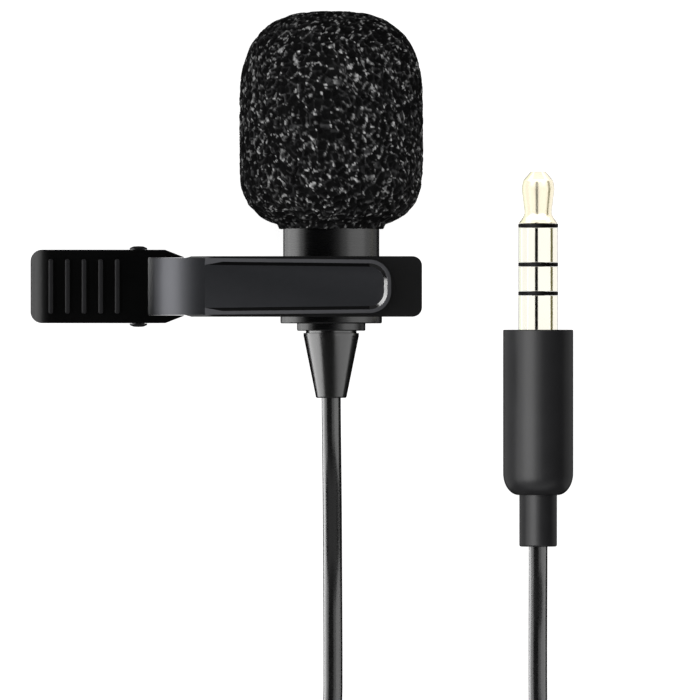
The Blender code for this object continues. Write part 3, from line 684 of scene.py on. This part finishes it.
def housing(materials):
    """The housing tube, the perforated cap on its front, and the stepped collar at its cable end."""
    axis = (0.0, MIC_Z)
    radius, bore = HOUSING_RADIUS, HOUSING_RADIUS - 0.525
    low, high = HOUSING_LOW.y, HOUSING_HIGH.y
    tube = turned("housing_tube", [
        (radius, high, 0.12), (radius, low, 0.1), (bore, low, 0.05), (bore, high, 0.05),
    ], axis, materials["tube"], 128)

    cap_low, cap_high = span("grille_cap")
    top, wall, front = cap_high.y, 0.4, 0.55
    skirt, seat = bore - 0.03, high + 0.03
    cap = turned("grille", [
        (0, top), (radius, top, 0.35), (radius, seat, 0.08), (skirt, seat), (skirt, cap_low.y, 0.05),
        (skirt - wall, cap_low.y, 0.05), (skirt - wall, top - front), (0, top - front),
    ], axis, materials["tube"], 128)
    drills = []
    for i in range(7):
        spot = on_circle(axis, 0.0 if i == 6 else 2.0, 60 * i)
        drills.append(drill(f"drill_{i}", 0.62, spot, top + 1, top - 1))
    cut(cap, drills)
    round_edges(cap, 0.06, 2)

    collar_low, collar_high = span("end_cap")
    collar = (collar_high.x - collar_low.x) / 2
    inner, plug_top, step, hole = bore - 0.03, collar_high.y, collar_low.y, CABLE_RADIUS + 0.03
    shoulder, step_radius = step + 0.66, 3.04
    end = turned("end_collar", [
        (inner, plug_top), (inner, low - 0.03), (collar, low - 0.03, 0.06), (collar, shoulder, 0.12),
        (step_radius, shoulder, 0.03), (step_radius, step, 0.12), (hole, step), (hole, plug_top),
    ], axis, materials["tube"], 128)

    top, bottom, hole = RELIEF_HIGH.y, RELIEF_LOW.y, CABLE_RADIUS + 0.01
    wide = (RELIEF_HIGH.x - RELIEF_LOW.x) / 2
    neck = top - 0.17
    relief = turned("cable_sleeve", [
        (hole, top + 0.1), (2.25, top + 0.1), (2.25, neck, 0.03), (wide, neck, 0.03),
        (wide, neck - 0.25, 0.1), (1.35, bottom, 0.15), (hole, bottom, 0.04),
    ], axis, materials["relief"], 96)
    stand_in(relief, "strain_relief", "microphone")
    tubes = {"capsule_housing": tube, "grille_cap": cap, "end_cap": end}
    return [stand_in(piece, name, "microphone") for name, piece in tubes.items()], relief


def foam_profile():
    """The foam's outline from its front round its side and rim and up its socket: (radius, y)."""
    low, high = FOAM_LOW.y, FOAM_HIGH.y
    wide = (FOAM_HIGH.x - FOAM_LOW.x) / 2
    socket, depth = HOUSING_RADIUS + 0.06, 18.1
    shoulder, corner = 9.0, 6.2
    top_bend, low_bend = 2 / 2.8, 2 / 3.0
    line = []
    for across, up in arc((0, 0), 1.0, 90, 0, 60):
        line.append((wide * across**top_bend, high - shoulder + shoulder * up**top_bend))
    line.append((wide, low + corner))
    for across, down in arc((0, 0), 1.0, 0, 90, 60)[1:]:
        radius = wide * across**low_bend
        if radius > socket + 0.5:
            line.append((radius, low + corner - corner * down**low_bend))
    line += [(socket + 0.3, low + 0.02), (socket + 0.1, low + 0.12), (socket, low + 0.4),
             (socket, depth - 0.2), (socket - 0.2, depth), (0.0, depth)]
    return np.array(line)


def ball_grid(steps):
    """Points of a unit ball with evenly sized square faces, and the faces."""
    work = bmesh.new()
    bmesh.ops.create_cube(work, size=2.0)
    bmesh.ops.subdivide_edges(work, edges=work.edges, cuts=steps - 1, use_grid_fill=True)
    points = np.array([v.co for v in work.verts])
    work.verts.index_update()
    faces = [[v.index for v in f.verts] for f in work.faces]
    work.free()
    points = np.tan(points * math.pi / 4)
    return points / np.linalg.norm(points, axis=1, keepdims=True), faces


def foam_cells(points):
    """For each point of the skin: its move along the normal, and its shares of the painted sheen on walls and
    the painted glint.
    """
    random = np.random.default_rng(7)
    cell, spare, size = 0.62, 1.3, (16.6, 19.6, 16.6)
    count = int(math.prod(size) / cell**3 * spare)
    low = np.array([-8.5, FOAM_LOW.y - 0.3, MIC_Z - 8.5])
    high = np.array([8.5, FOAM_HIGH.y + 0.3, MIC_Z + 8.5])
    seeds = low + (high - low) * random.random((count, 3))
    tree = kdtree.KDTree(count)
    for i, seed in enumerate(seeds):
        tree.insert(seed, i)
    tree.balance()
    depth = random.random(count)
    shine = random.random(4096)
    strut, slope, wall_half, corner_half, line_half = 0.03, 0.26, 0.13, 0.27, 0.2
    push, wall, painted_glint = (np.zeros(len(points)) for _ in range(3))
    for i, point in enumerate(points):
        (_, first, near), (_, second, next_near), (_, third, last_near), corner = tree.find_n(point, 4)
        apart, meet, knot = next_near - near, last_near - near, corner[2] - near
        pit = min(1.0, max(0.0, (apart - strut) / slope))
        pit = pit * pit * (3 - 2 * pit)
        push[i] = -pit * (0.10 + 0.26 * depth[first]) - 0.05 * depth[second]
        push[i] += 0.12 * noise.noise(Vector(point) * 1.1) - 0.02
        # Painted sheen: a random few cell walls get a grey share of colour, as if lit.
        wall[i] = max(0.0, 1 - apart / wall_half) * shine[(first * second) % len(shine)] ** 4
        # Painted glints: random knots and edges where cells meet get near-white colour, standing in for
        # struts catching the light.
        spark = max(0.0, shine[(first + second + third) % len(shine)] - 0.7) / 0.3
        painted_glint[i] = max(0.0, 1 - knot / corner_half) * spark**2 + 0.06 * max(0.0, 1 - meet / line_half) * spark
    return push, wall, painted_glint


def windscreen(materials):
    """Open-cell foam: a fine skin whose cells are sunk between raised struts."""
    ball, faces = ball_grid(126)
    line = foam_profile()
    socket = 6  # the profile's last points, which line the socket and need fewer of the ball's
    long = np.hypot(*np.diff(line, axis=0).T)
    weight = np.where(np.arange(len(long)) > len(line) - socket, 0.2, 1.0)
    area = np.concatenate([[0.0], np.cumsum(long * (line[1:, 0] + line[:-1, 0]) * weight)])
    share = (1 - ball[:, 2]) / 2 * area[-1]
    radius = np.interp(share, area, line[:, 0])
    along = np.interp(share, area, line[:, 1])
    flat = np.maximum(np.hypot(ball[:, 0], ball[:, 1]), 1e-9)
    points = np.stack([radius * ball[:, 0] / flat, along, MIC_Z + radius * ball[:, 1] / flat], axis=1)

    mesh = bpy.data.meshes.new("foam_ball")
    mesh.from_pydata([place(*p) for p in points], [], [face[::-1] for face in faces])
    mesh.update()
    normal = np.zeros(len(points) * 3)
    mesh.vertex_normals.foreach_get("vector", normal)

    push, wall, painted_glint = foam_cells(points)
    outside = share / area[-1] < area[len(line) - socket - 1] / area[-1]
    push = np.minimum(np.where(outside, push, push * 0.3), 0.0)
    moved = points + normal.reshape(-1, 3) * push[:, None]
    mesh.vertices.foreach_set("co", np.array([place(*p) for p in moved]).astype(np.float32).ravel())
    mesh.update()
    mesh.shade_smooth()
    # The painted sheen and painted glint shares go on the mesh for the foam material.
    for name, values in (("wall", wall), ("painted_glint", painted_glint)):
        mesh.attributes.new(name, "FLOAT", "POINT").data.foreach_set("value", values.astype(np.float32))
    mesh.materials.append(materials["foam"])
    made = stand_in(added("foam_ball", mesh), "foam_windscreen", "windscreen")
    return made


# ---- clip


def tapered_bar(left, right, half_left, half_right, corner_left, corner_right):
    """A plan outline that tapers from left to right, with rounded corners."""
    line = arc((right - corner_right, half_right - corner_right), corner_right, 0, 90, 16)
    line += arc((left + corner_left, half_left - corner_left), corner_left, 90, 180, 12)
    return mirrored(line)


def bend(top, tail, start, end, offset):
    """The strip's upper side from its flat part down to its tail, moved down by offset."""
    fall, run, foot, steps = top - tail, end - start, 0.35, 22
    turn = 2 * math.atan2(fall, run)
    radius, foot_radius = (run - foot) / math.sin(turn), foot / math.sin(turn)
    degrees = math.degrees(turn)
    upper = arc((end, top - radius), radius - offset, 90, 90 + degrees, steps)
    lower = arc((start, tail + foot_radius), foot_radius + offset, -90 + degrees, -90, steps)
    return upper + lower


def strip(materials):
    """The front jaw: a bar with a rim round a sunk panel, bent down to a tail under the thumb lever."""
    low, high = span("jaw_strip")
    top, thick, tail = high.z, 0.9, low.z + 0.9
    start, end = -16.6, -11.2
    wide, narrow, tip, rim, depth = high.y, 2.36, 1.9, 0.32, 0.3
    panel, right = top - depth, high.x + 1
    side = [(right, panel), *bend(panel, tail, start, end, 0), (low.x - 1, tail), (low.x - 1, tail - thick)]
    side += [*reversed(bend(top, tail, start, end, thick)), (right, top - thick)]
    bar = prism("front_jaw", side, 4.0, True, materials["strip"])
    raised = [(right, top), (end + 1.6, top), (end, panel - 0.01), (end + 0.3, panel - 0.2),
              (right, panel - 0.2)]
    ledge = prism("ledge", raised, 4.0, True, materials["strip"])
    rise, wall = 0.2, 0.3
    mouth = tapered_bar(start, high.x - rim + rise, wide - rim + rise, narrow - rim + rise, 0.8,
                        tip - rim + rise)
    foot = tapered_bar(start, high.x - rim - wall, wide - rim - wall, narrow - rim - wall, 0.3,
                       tip - rim - wall)
    high_cut, half = panel + (depth + rise) / 2, (depth + rise) / 2
    cut(ledge, [prism("walls", mouth, half, False, middle_at=high_cut, inset=rise + wall),
                prism("floor", foot, 0.3, False, middle_at=panel - 0.29)])
    cut(bar, [ledge], "UNION")
    trim(bar, tapered_bar(low.x, high.x, wide, narrow, 0.3, tip))
    round_edges(bar, 0.05, 3)
    for name in ("rim", "wall", "recess"):
        bar.data.materials.append(materials[name])
    # The rim faces get the lighter painted sheen, the recess's long walls the near-black painted shade, and
    # its rounded end the glossy wall finish.
    for face in bar.data.polygons:
        spot = (face.center - ORIGIN) / MM
        if spot.x > end - 0.1 and spot.z > panel + 0.01:
            inner = abs(spot.y) < wide - rim and spot.x < high.x - rim and face.normal.z < 0.9
            face.material_index = (2 if spot.x > high.x - tip else 3) if inner else 1
    return stand_in(bar, "jaw_strip", "clamp_lever")


def drill(name, radius, spot, top, bottom, upright=False, steps=32):
    """A round cutter about a line along Y, or an upright one."""
    return turned(name, [(0, top), (radius, top), (radius, bottom), (0, bottom)], spot, None, steps, upright)


def pin_drill():
    return drill("drill", 0.6, pin_place(), 6, -6, steps=48)


def block(name, low, high, material=None):
    work = bmesh.new()
    bmesh.ops.create_cube(work, size=1.0)
    size = [(b - a) * MM for a, b in zip(low, high)]
    bmesh.ops.transform(work, matrix=Matrix.Diagonal((*size, 1.0)), verts=work.verts)
    bmesh.ops.translate(work, vec=place(*[(a + b) / 2 for a, b in zip(low, high)]), verts=work.verts)
    return finish_mesh(name, work, material)


def grip(materials):
    """The thumb lever: a rounded channel whose cheeks hold the pin, with five ribs on its back."""
    low, high = span("thumb_grip")
    pin = pin_place()
    left, top, floor_z, right = low.x, 15.0, 14.0, -16.22
    half = high.y
    inner = span("jaw_strip")[1].y - 0.01
    curl = arc((left + 1.9, top - 1.9), 1.9, 90, 165, 18)
    hub = arc(pin, 1.4, 215, 360, 24)
    side = [(right + 0.1, top), *curl, (left, floor_z - 1.1), (left + 0.4, floor_z - 1.2)]
    side += [(-20.6, floor_z - 1.0), *hub, (pin[0] + 1.6, 12.8), (-13.0, 13.6), (-13.0, 14.4),
             (-14.6, top - 0.1)]
    lever = prism("thumb_lever", side, half, True, materials["grip"])
    corner = 1.05
    edge = [(-13.05, inner + 0.05), (-14.7, half)]
    edge += arc((left + corner, half - corner), corner, 90, 180, 12)
    trim(lever, mirrored(edge))
    hollow = block("hollow", (left + 0.7, -inner, 5.0), (-10.0, inner, floor_z))
    notch = block("notch", (right, -inner, 5.0), (-10.0, inner, 20.0))
    cut(lever, [hollow, notch, pin_drill()])
    round_edges(lever, 0.12, 3)
    # The ribs take the lighter finish, a painted highlight.
    add_ribs(lever, "rib", [top] * 5, 0.2, materials["rib"], 0.16, 4)
    return stand_in(lever, "thumb_grip", "clamp_lever")


RIB_START, RIB_STEP = -24.81, 1.47


def add_ribs(thing, name, heights, half, material, corner, segments):
    """Joins a row of ribs to the thing, each across it and 0.2 above and below its height."""
    ribs = []
    for i, z in enumerate(heights):
        x = RIB_START + i * RIB_STEP
        rib = block(f"{name}_{i}", (x - half, -2.42, z - 0.2), (x + half, 2.42, z + 0.2), material)
        ribs.append(round_edges(rib, corner, segments))
    all_of_it = [thing, *ribs]
    with bpy.context.temp_override(active_object=thing, selected_editable_objects=all_of_it,
                                   selected_objects=all_of_it, object=thing):
        bpy.ops.object.join()


def pin_place():
    low, high = span("pivot_pin")
    return (low.x + high.x) / 2, (low.z + high.z) / 2


def rivet_place(i):
    low, high = span(f"ring_rivet_{i}")
    return (low.x + high.x) / 2, (low.y + high.y) / 2


RIVET_HOLE = 0.48


def rear_jaw(materials):
    """The rear jaw, bent down into its thumb lever, with two ears for the pin."""
    high = span("holder_plate")[1]
    top, thick = 14.1, 0.8
    upper = soften([(high.x + 1, top), (-10.6, top, 1.4), (-15.6, 9.7, 1.4), (-25.9, 7.6)], False, 8)
    lower = soften([(high.x + 0.75, top - thick), (-10.85, top - thick, 1.4), (-15.85, 8.9, 1.4),
                    (-26.15, 6.8)], False, 8)
    plate = prism("rear_jaw", upper + lower[::-1], 4.0, True, materials["plate"])
    half, lever, corner = high.y, 2.4, 0.85
    edge = arc((high.x - corner, half - corner), corner, 0, 90, 12)
    edge += [(-12.4, half), (-13.4, lever), (-27.0, lever)]
    trim(plate, mirrored(edge))
    ear = [(-19.4, 8.5), (-15.1, 9.6), *arc(pin_place(), 1.15, -30, 200, 24)]
    ears = [prism(f"ear_{side}", ear, 0.3, True, middle_at=side * (lever - 0.3)) for side in (-1, 1)]
    cut(plate, ears, "UNION")
    drills = [drill("drill", RIVET_HOLE, rivet_place(i), 20, 10, True) for i in (1, 2)]
    cut(plate, [pin_drill(), *drills])
    round_edges(plate, 0.09, 3)
    return stand_in(plate, "holder_plate", "clip_holder")


def ring(materials):
    """The spring ring that holds the microphone under the rear jaw, and the two rivets that hold the ring."""
    high = span("holder_ring")[1]
    inner = HOUSING_RADIUS + 0.05
    outer, seat, flat, mouth = inner + 0.74, high.z, 2.75, 25.0
    centre = (0.0, MIC_Z)
    line = arc(centre, outer, -90 + mouth, 55, 40) + [(flat, seat), (-flat, seat)]
    line += arc(centre, outer, 125, 270 - mouth, 40) + arc(centre, inner, 270 - mouth, -90 + mouth, 90)
    loop = prism("spring_ring", line, high.y, True, materials["plastic"])
    rivets = []
    for i in (1, 2):
        spot = rivet_place(i)
        foot, top = (corner.z for corner in span(f"ring_rivet_{i}"))
        cut(loop, [drill("drill", RIVET_HOLE, spot, seat + 1, foot - 0.03, True)])
        rivet = turned(f"rivet_{i}", [
            (0, top), (0.5, top, 0.3), (0.75, top - 0.25, 0.04), (0.44, top - 0.25), (0.44, foot), (0, foot),
        ], spot, materials["steel"], 48, True)
        rivets.append(stand_in(rivet, f"ring_rivet_{i}", "clip_holder"))
    return [stand_in(round_edges(loop, 0.12, 3), "holder_ring", "clip_holder"), *rivets]


LEVER_SLOPE = (9.7 - 7.6) / 10.3


def lever_top(x):
    """How high the rear lever's upper side is."""
    return 7.6 + LEVER_SLOPE * (x + 25.9)


def rear_pad(materials):
    """The ribbed pad on the end of the rear lever."""
    low, high = span("rear_thumb_pad")
    left, right, half, wall, thick = low.x, high.x, high.y, 0.55, 0.8
    level = [lever_top(x) for x in (right, left + 0.95)]
    radius, tilt = thick / 2 + wall, math.degrees(math.atan(LEVER_SLOPE))
    side = [(right, level[0] + wall)]
    side += arc((left + radius, level[1] - thick / 2), radius, 90 + tilt, 270 + tilt, 24)
    side += [(right, level[0] + wall - 2 * radius)]
    pad = prism("rear_pad", side, half, True, materials["grip"])
    trim(pad, tapered_bar(left, right, half, half, 1.05, 0.3), 8)
    pocket = [(x, lever_top(x) + shift) for x, shift in
              ((-26.2, 0.03), (right + 0.4, 0.03), (right + 0.4, -0.9), (-26.2, -0.82))]
    cut(pad, [prism("pocket", pocket, 2.43, True)])
    round_edges(pad, 0.12, 3)
    faces = [lever_top(RIB_START + i * RIB_STEP) - thick - wall for i in range(3)]
    # The ribs take the lighter finish, a painted highlight.
    add_ribs(pad, "pad_rib", faces, 0.22, materials["rib"], 0.12, 3)
    return stand_in(pad, "rear_thumb_pad", "clip_holder")


def pin(materials):
    """The pivot pin with its two domed heads."""
    low, high = span("pivot_pin")
    end, head, shank, face = high.y, (high.x - low.x) / 2, 0.55, span("thumb_grip")[1].y + 0.03
    dome = [(0, end), (head * 0.55, end - 0.02, 0.4), (head, face + 0.14, 0.08), (head, face, 0.02),
            (shank, face)]
    profile = dome + [(r, -y, *rest) for r, y, *rest in reversed(dome)]
    made = turned("hinge_pin", profile, pin_place(), materials["blacked"], 64)
    return stand_in(made, "pivot_pin", "clip_holder")


def spring(materials):
    """The torsion spring: a coil round the pin, with one leg under each thumb lever."""
    turns, radius, thick, half = 4.5, 0.85, 0.16, 1.3
    x, z = pin_place()
    leg = x - 6.0
    points = [Vector((leg, -half, 13.79))]
    count = round(turns * 36)
    for i in range(count + 1):
        turn = math.pi / 2 + math.tau * turns * i / count
        points.append(Vector((x - radius * math.cos(turn), -half + 2 * half * i / count,
                              z + radius * math.sin(turn))))
    points.append(Vector((leg, half, 7.6 + 0.204 * (leg + 25.9) + 0.55 + thick + 0.05)))
    made = to_mesh(wire("clip_spring", points, thick, materials["steel"], 4))
    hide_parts("torsion_spring")
    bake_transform(made)
    return made


def jaw_pads(materials):
    """The toothed pads that grip the cloth between the jaws."""
    made = []
    for name, body, node_name in (("rear_teeth", "clip_holder", "plate_jaw_pad"),
                                  ("front_teeth", "clamp_lever", "strip_jaw_pad")):
        low, high = span(node_name)
        rear = body == "clip_holder"
        back, bite = (low.z, high.z) if rear else (high.z, low.z)
        count, notch = 8, -0.24 if rear else 0.24
        teeth = [(low.x + (high.x - low.x) * i / count, bite if i % 2 == rear else bite + notch)
                 for i in range(count + 1)]
        pad = prism(name, [(high.x, back), (low.x, back), *teeth], high.y, True, materials["rubber"])
        made.append(stand_in(round_edges(pad, 0.03, 2), node_name, body))
    return made


# ---- plug


PLUG_BORE = 0.62


def band(node_name, radius, grow, corner):
    """The profile of a ring of the plug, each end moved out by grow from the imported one's."""
    low, high = (end.y for end in span(node_name))
    top, foot = high + grow, low - grow
    return [(radius, top, corner), (radius, foot, corner), (PLUG_BORE, foot), (PLUG_BORE, top)]


def plug(materials):
    """The four gold contacts and their black insulators, the moulded barrel and its short sleeve."""
    axis, radius, bore = (PLUG_X, SHELL_RADIUS), 1.75, PLUG_BORE
    foot, top = (end.y for end in span("plug_tip"))
    thin = 0.08  # how far each contact reaches over the ends of the black rings' packed places
    contacts = {"plug_tip": turned("tip_contact", [
        (0, top), (0.66, top, 0.10), (1.34, top - 0.78, 0.55), (1.47, top - 1.5, 1.2), (1.17, 6.5, 0.9),
        (1.5, 5.98, 0.12), (1.70, foot, 0.03), (1.70, foot - thin, 0.02), (bore, foot - thin),
        (bore, top - 2.4), (0, top - 2.4),
    ], axis, materials["tip"])}
    for i in (1, 2):
        profile = band(f"plug_ring_{i}", radius, thin, 0.03)
        contacts[f"plug_ring_{i}"] = turned(f"ring_contact_{i}", profile, axis, materials["gold"])
    low, high = span("plug_sleeve")
    flange = SHELL_HIGH.y - 0.8
    contacts["plug_sleeve"] = turned("sleeve_contact", [
        (radius, high.y + thin, 0.03), (radius, flange), (2.2, flange), (2.2, flange - 0.8),
        (1.3, flange - 0.8), (1.3, low.y), (bore, low.y), (bore, high.y + thin),
    ], axis, materials["gold"])
    dark = {}
    for i in (1, 2, 3):
        profile = band(f"plug_insulator_{i}", radius + 0.03, -thin, 0.05)
        dark[f"plug_insulator_{i}"] = turned(f"insulator_{i}", profile, axis, materials["insulator"])

    outer, top, bottom, hollow, neck = SHELL_RADIUS, SHELL_HIGH.y, SHELL_LOW.y, 2.4, 1.71
    end_high, end_wide = 1.95, 1.4
    side = [(outer, top, 0.1), (outer, bottom + end_high)]
    for across, down in arc((0, 0), 1.0, 0, 90, 17)[1:-1]:
        side.append((outer - end_wide * (1 - across), bottom + end_high - end_high * down))
    side += [(neck + 0.02, bottom, 0.01), (neck, bottom + 0.1), (neck, bottom + 1.6), (hollow, bottom + 1.6)]
    side += [(hollow, top - 0.75), (radius + 0.03, top - 0.75), (radius + 0.03, top, 0.08)]
    shell = turned("barrel", side, axis, materials["shell"], 128)
    head, foot = PLUG_RELIEF_HIGH.y, PLUG_RELIEF_LOW.y
    relief, hole, shoulder = 1.68, CABLE_RADIUS + 0.01, bottom + 1.65
    sleeve = turned("plug_cable_sleeve", [
        (hole, head), (relief + 0.45, head), (relief + 0.45, shoulder), (relief, shoulder),
        (relief, foot, 0.16), (hole, foot, 0.04),
    ], axis, materials["shell"], 96)
    black = {"plug_shell": shell, "plug_strain_relief": sleeve}
    for pieces, slot in ((contacts, "gold"), (dark, "black_plastic"), (black, "black_plastic")):
        for replaced, piece in pieces.items():
            stand_in(piece, replaced, "microphone")
    return list(contacts.values()), list(dark.values()), list(black.values())


def tie(materials):
    """A hook-and-loop strap round the coil, its end lapped over its start."""
    low, high = span("cable_tie")
    thick, corner, lap = 0.4, 1.3, 4.6
    x, wide = (low.x + high.x) / 2, high.x - low.x
    inset = thick / 2
    near, far, foot, top = low.y + inset, high.y - inset, low.z + inset, high.z - inset
    start, over = high.y - 3.4, top + thick
    line = [(start, top), (near, top, corner), (near, foot, corner), (far, foot, corner), (far, top, corner),
            (start - 0.2, top), (start - 1.4, over), (start - 1.4 - lap, over)]
    path = even([Vector((0, y, z)) for y, z in soften(line, False, 10)], 0.3)
    work = bmesh.new()
    rows = []
    for i, here in enumerate(path):
        ahead = (path[min(i + 1, len(path) - 1)] - path[max(i - 1, 0)]).normalized()
        out = Vector((0, -ahead.z, ahead.y)) * (thick / 2 - 0.02)
        left = (len(path) - 1 - i) * 0.3
        half = wide / 2 if left > 1.5 else wide / 2 * math.sqrt(max(0.05, 1 - (1 - left / 1.5) ** 2))
        row = []
        for side, turn in ((-1, 1), (1, 1), (1, -1), (-1, -1)):
            spot = here + Vector((x + side * half, 0, 0)) + out * turn
            row.append(work.verts.new(place(*spot)))
        rows.append(row)
    for one, other in zip(rows, rows[1:]):
        bridge(work, one, other)
    work.faces.new(rows[0])
    work.faces.new(rows[-1])
    strap = finish_mesh("coil_strap", work, materials["tie"])
    round_edges(strap, 0.12, 2, 50)
    return stand_in(strap, "cable_tie", "microphone")


HIDDEN = {
    "grille_mesh": "steel", "dust_felt": "felt", "electret_capsule": "steel", "capsule_gasket": "rubber",
    "capsule_board": "board", "signal_lead": "sleeve", "shield_lead": "steel", "cable_inner_end": "cable",
    "cable_crimp": "steel", "plug_core_pin": "steel", "plug_inner_mould": "plastic",
    "plug_lead_1": "steel", "plug_lead_2": "sleeve",
}


def inner_parts(materials):
    """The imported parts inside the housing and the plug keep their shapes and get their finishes."""
    for name, material in HIDDEN.items():
        thing = NODES[name]
        thing.data.materials.clear()
        thing.data.materials.append(materials[material])


def main():
    bpy.context.scene.view_settings.view_transform = "Standard"
    materials = make_materials()
    camera()
    flex = make_cable(materials)
    ground = floor()
    backdrop()
    world()
    tubes, relief = housing(materials)
    foam = windscreen(materials)
    clip = [strip(materials), grip(materials), rear_jaw(materials), *ring(materials), rear_pad(materials)]
    clip += [pin(materials), spring(materials), *jaw_pads(materials)]
    contacts, insulators, barrel = plug(materials)
    strap = tie(materials)
    inner_parts(materials)
    sets = {
        "tubes": group("tube_set", tubes), "strip": group("strip_set", clip[:1]),
        "levers": group("lever_set", [*clip[1:], strap]), "relief": group("relief_set", [relief]),
        "cable": group("cable_set", [flex]), "foam": group("foam_set", [foam]),
        "plug": group("plug_set", [*barrel, *insulators]), "gold": group("gold_set", contacts),
        "plug_shade": group("plug_shade_set", [*barrel, *insulators, *contacts]),
        "ground": group("ground_set", [ground]),
    }
    for thing in (foam, *tubes, *clip, *(NODES[name] for name in HIDDEN)):
        thing.visible_glossy = False
    lights(sets)


main()
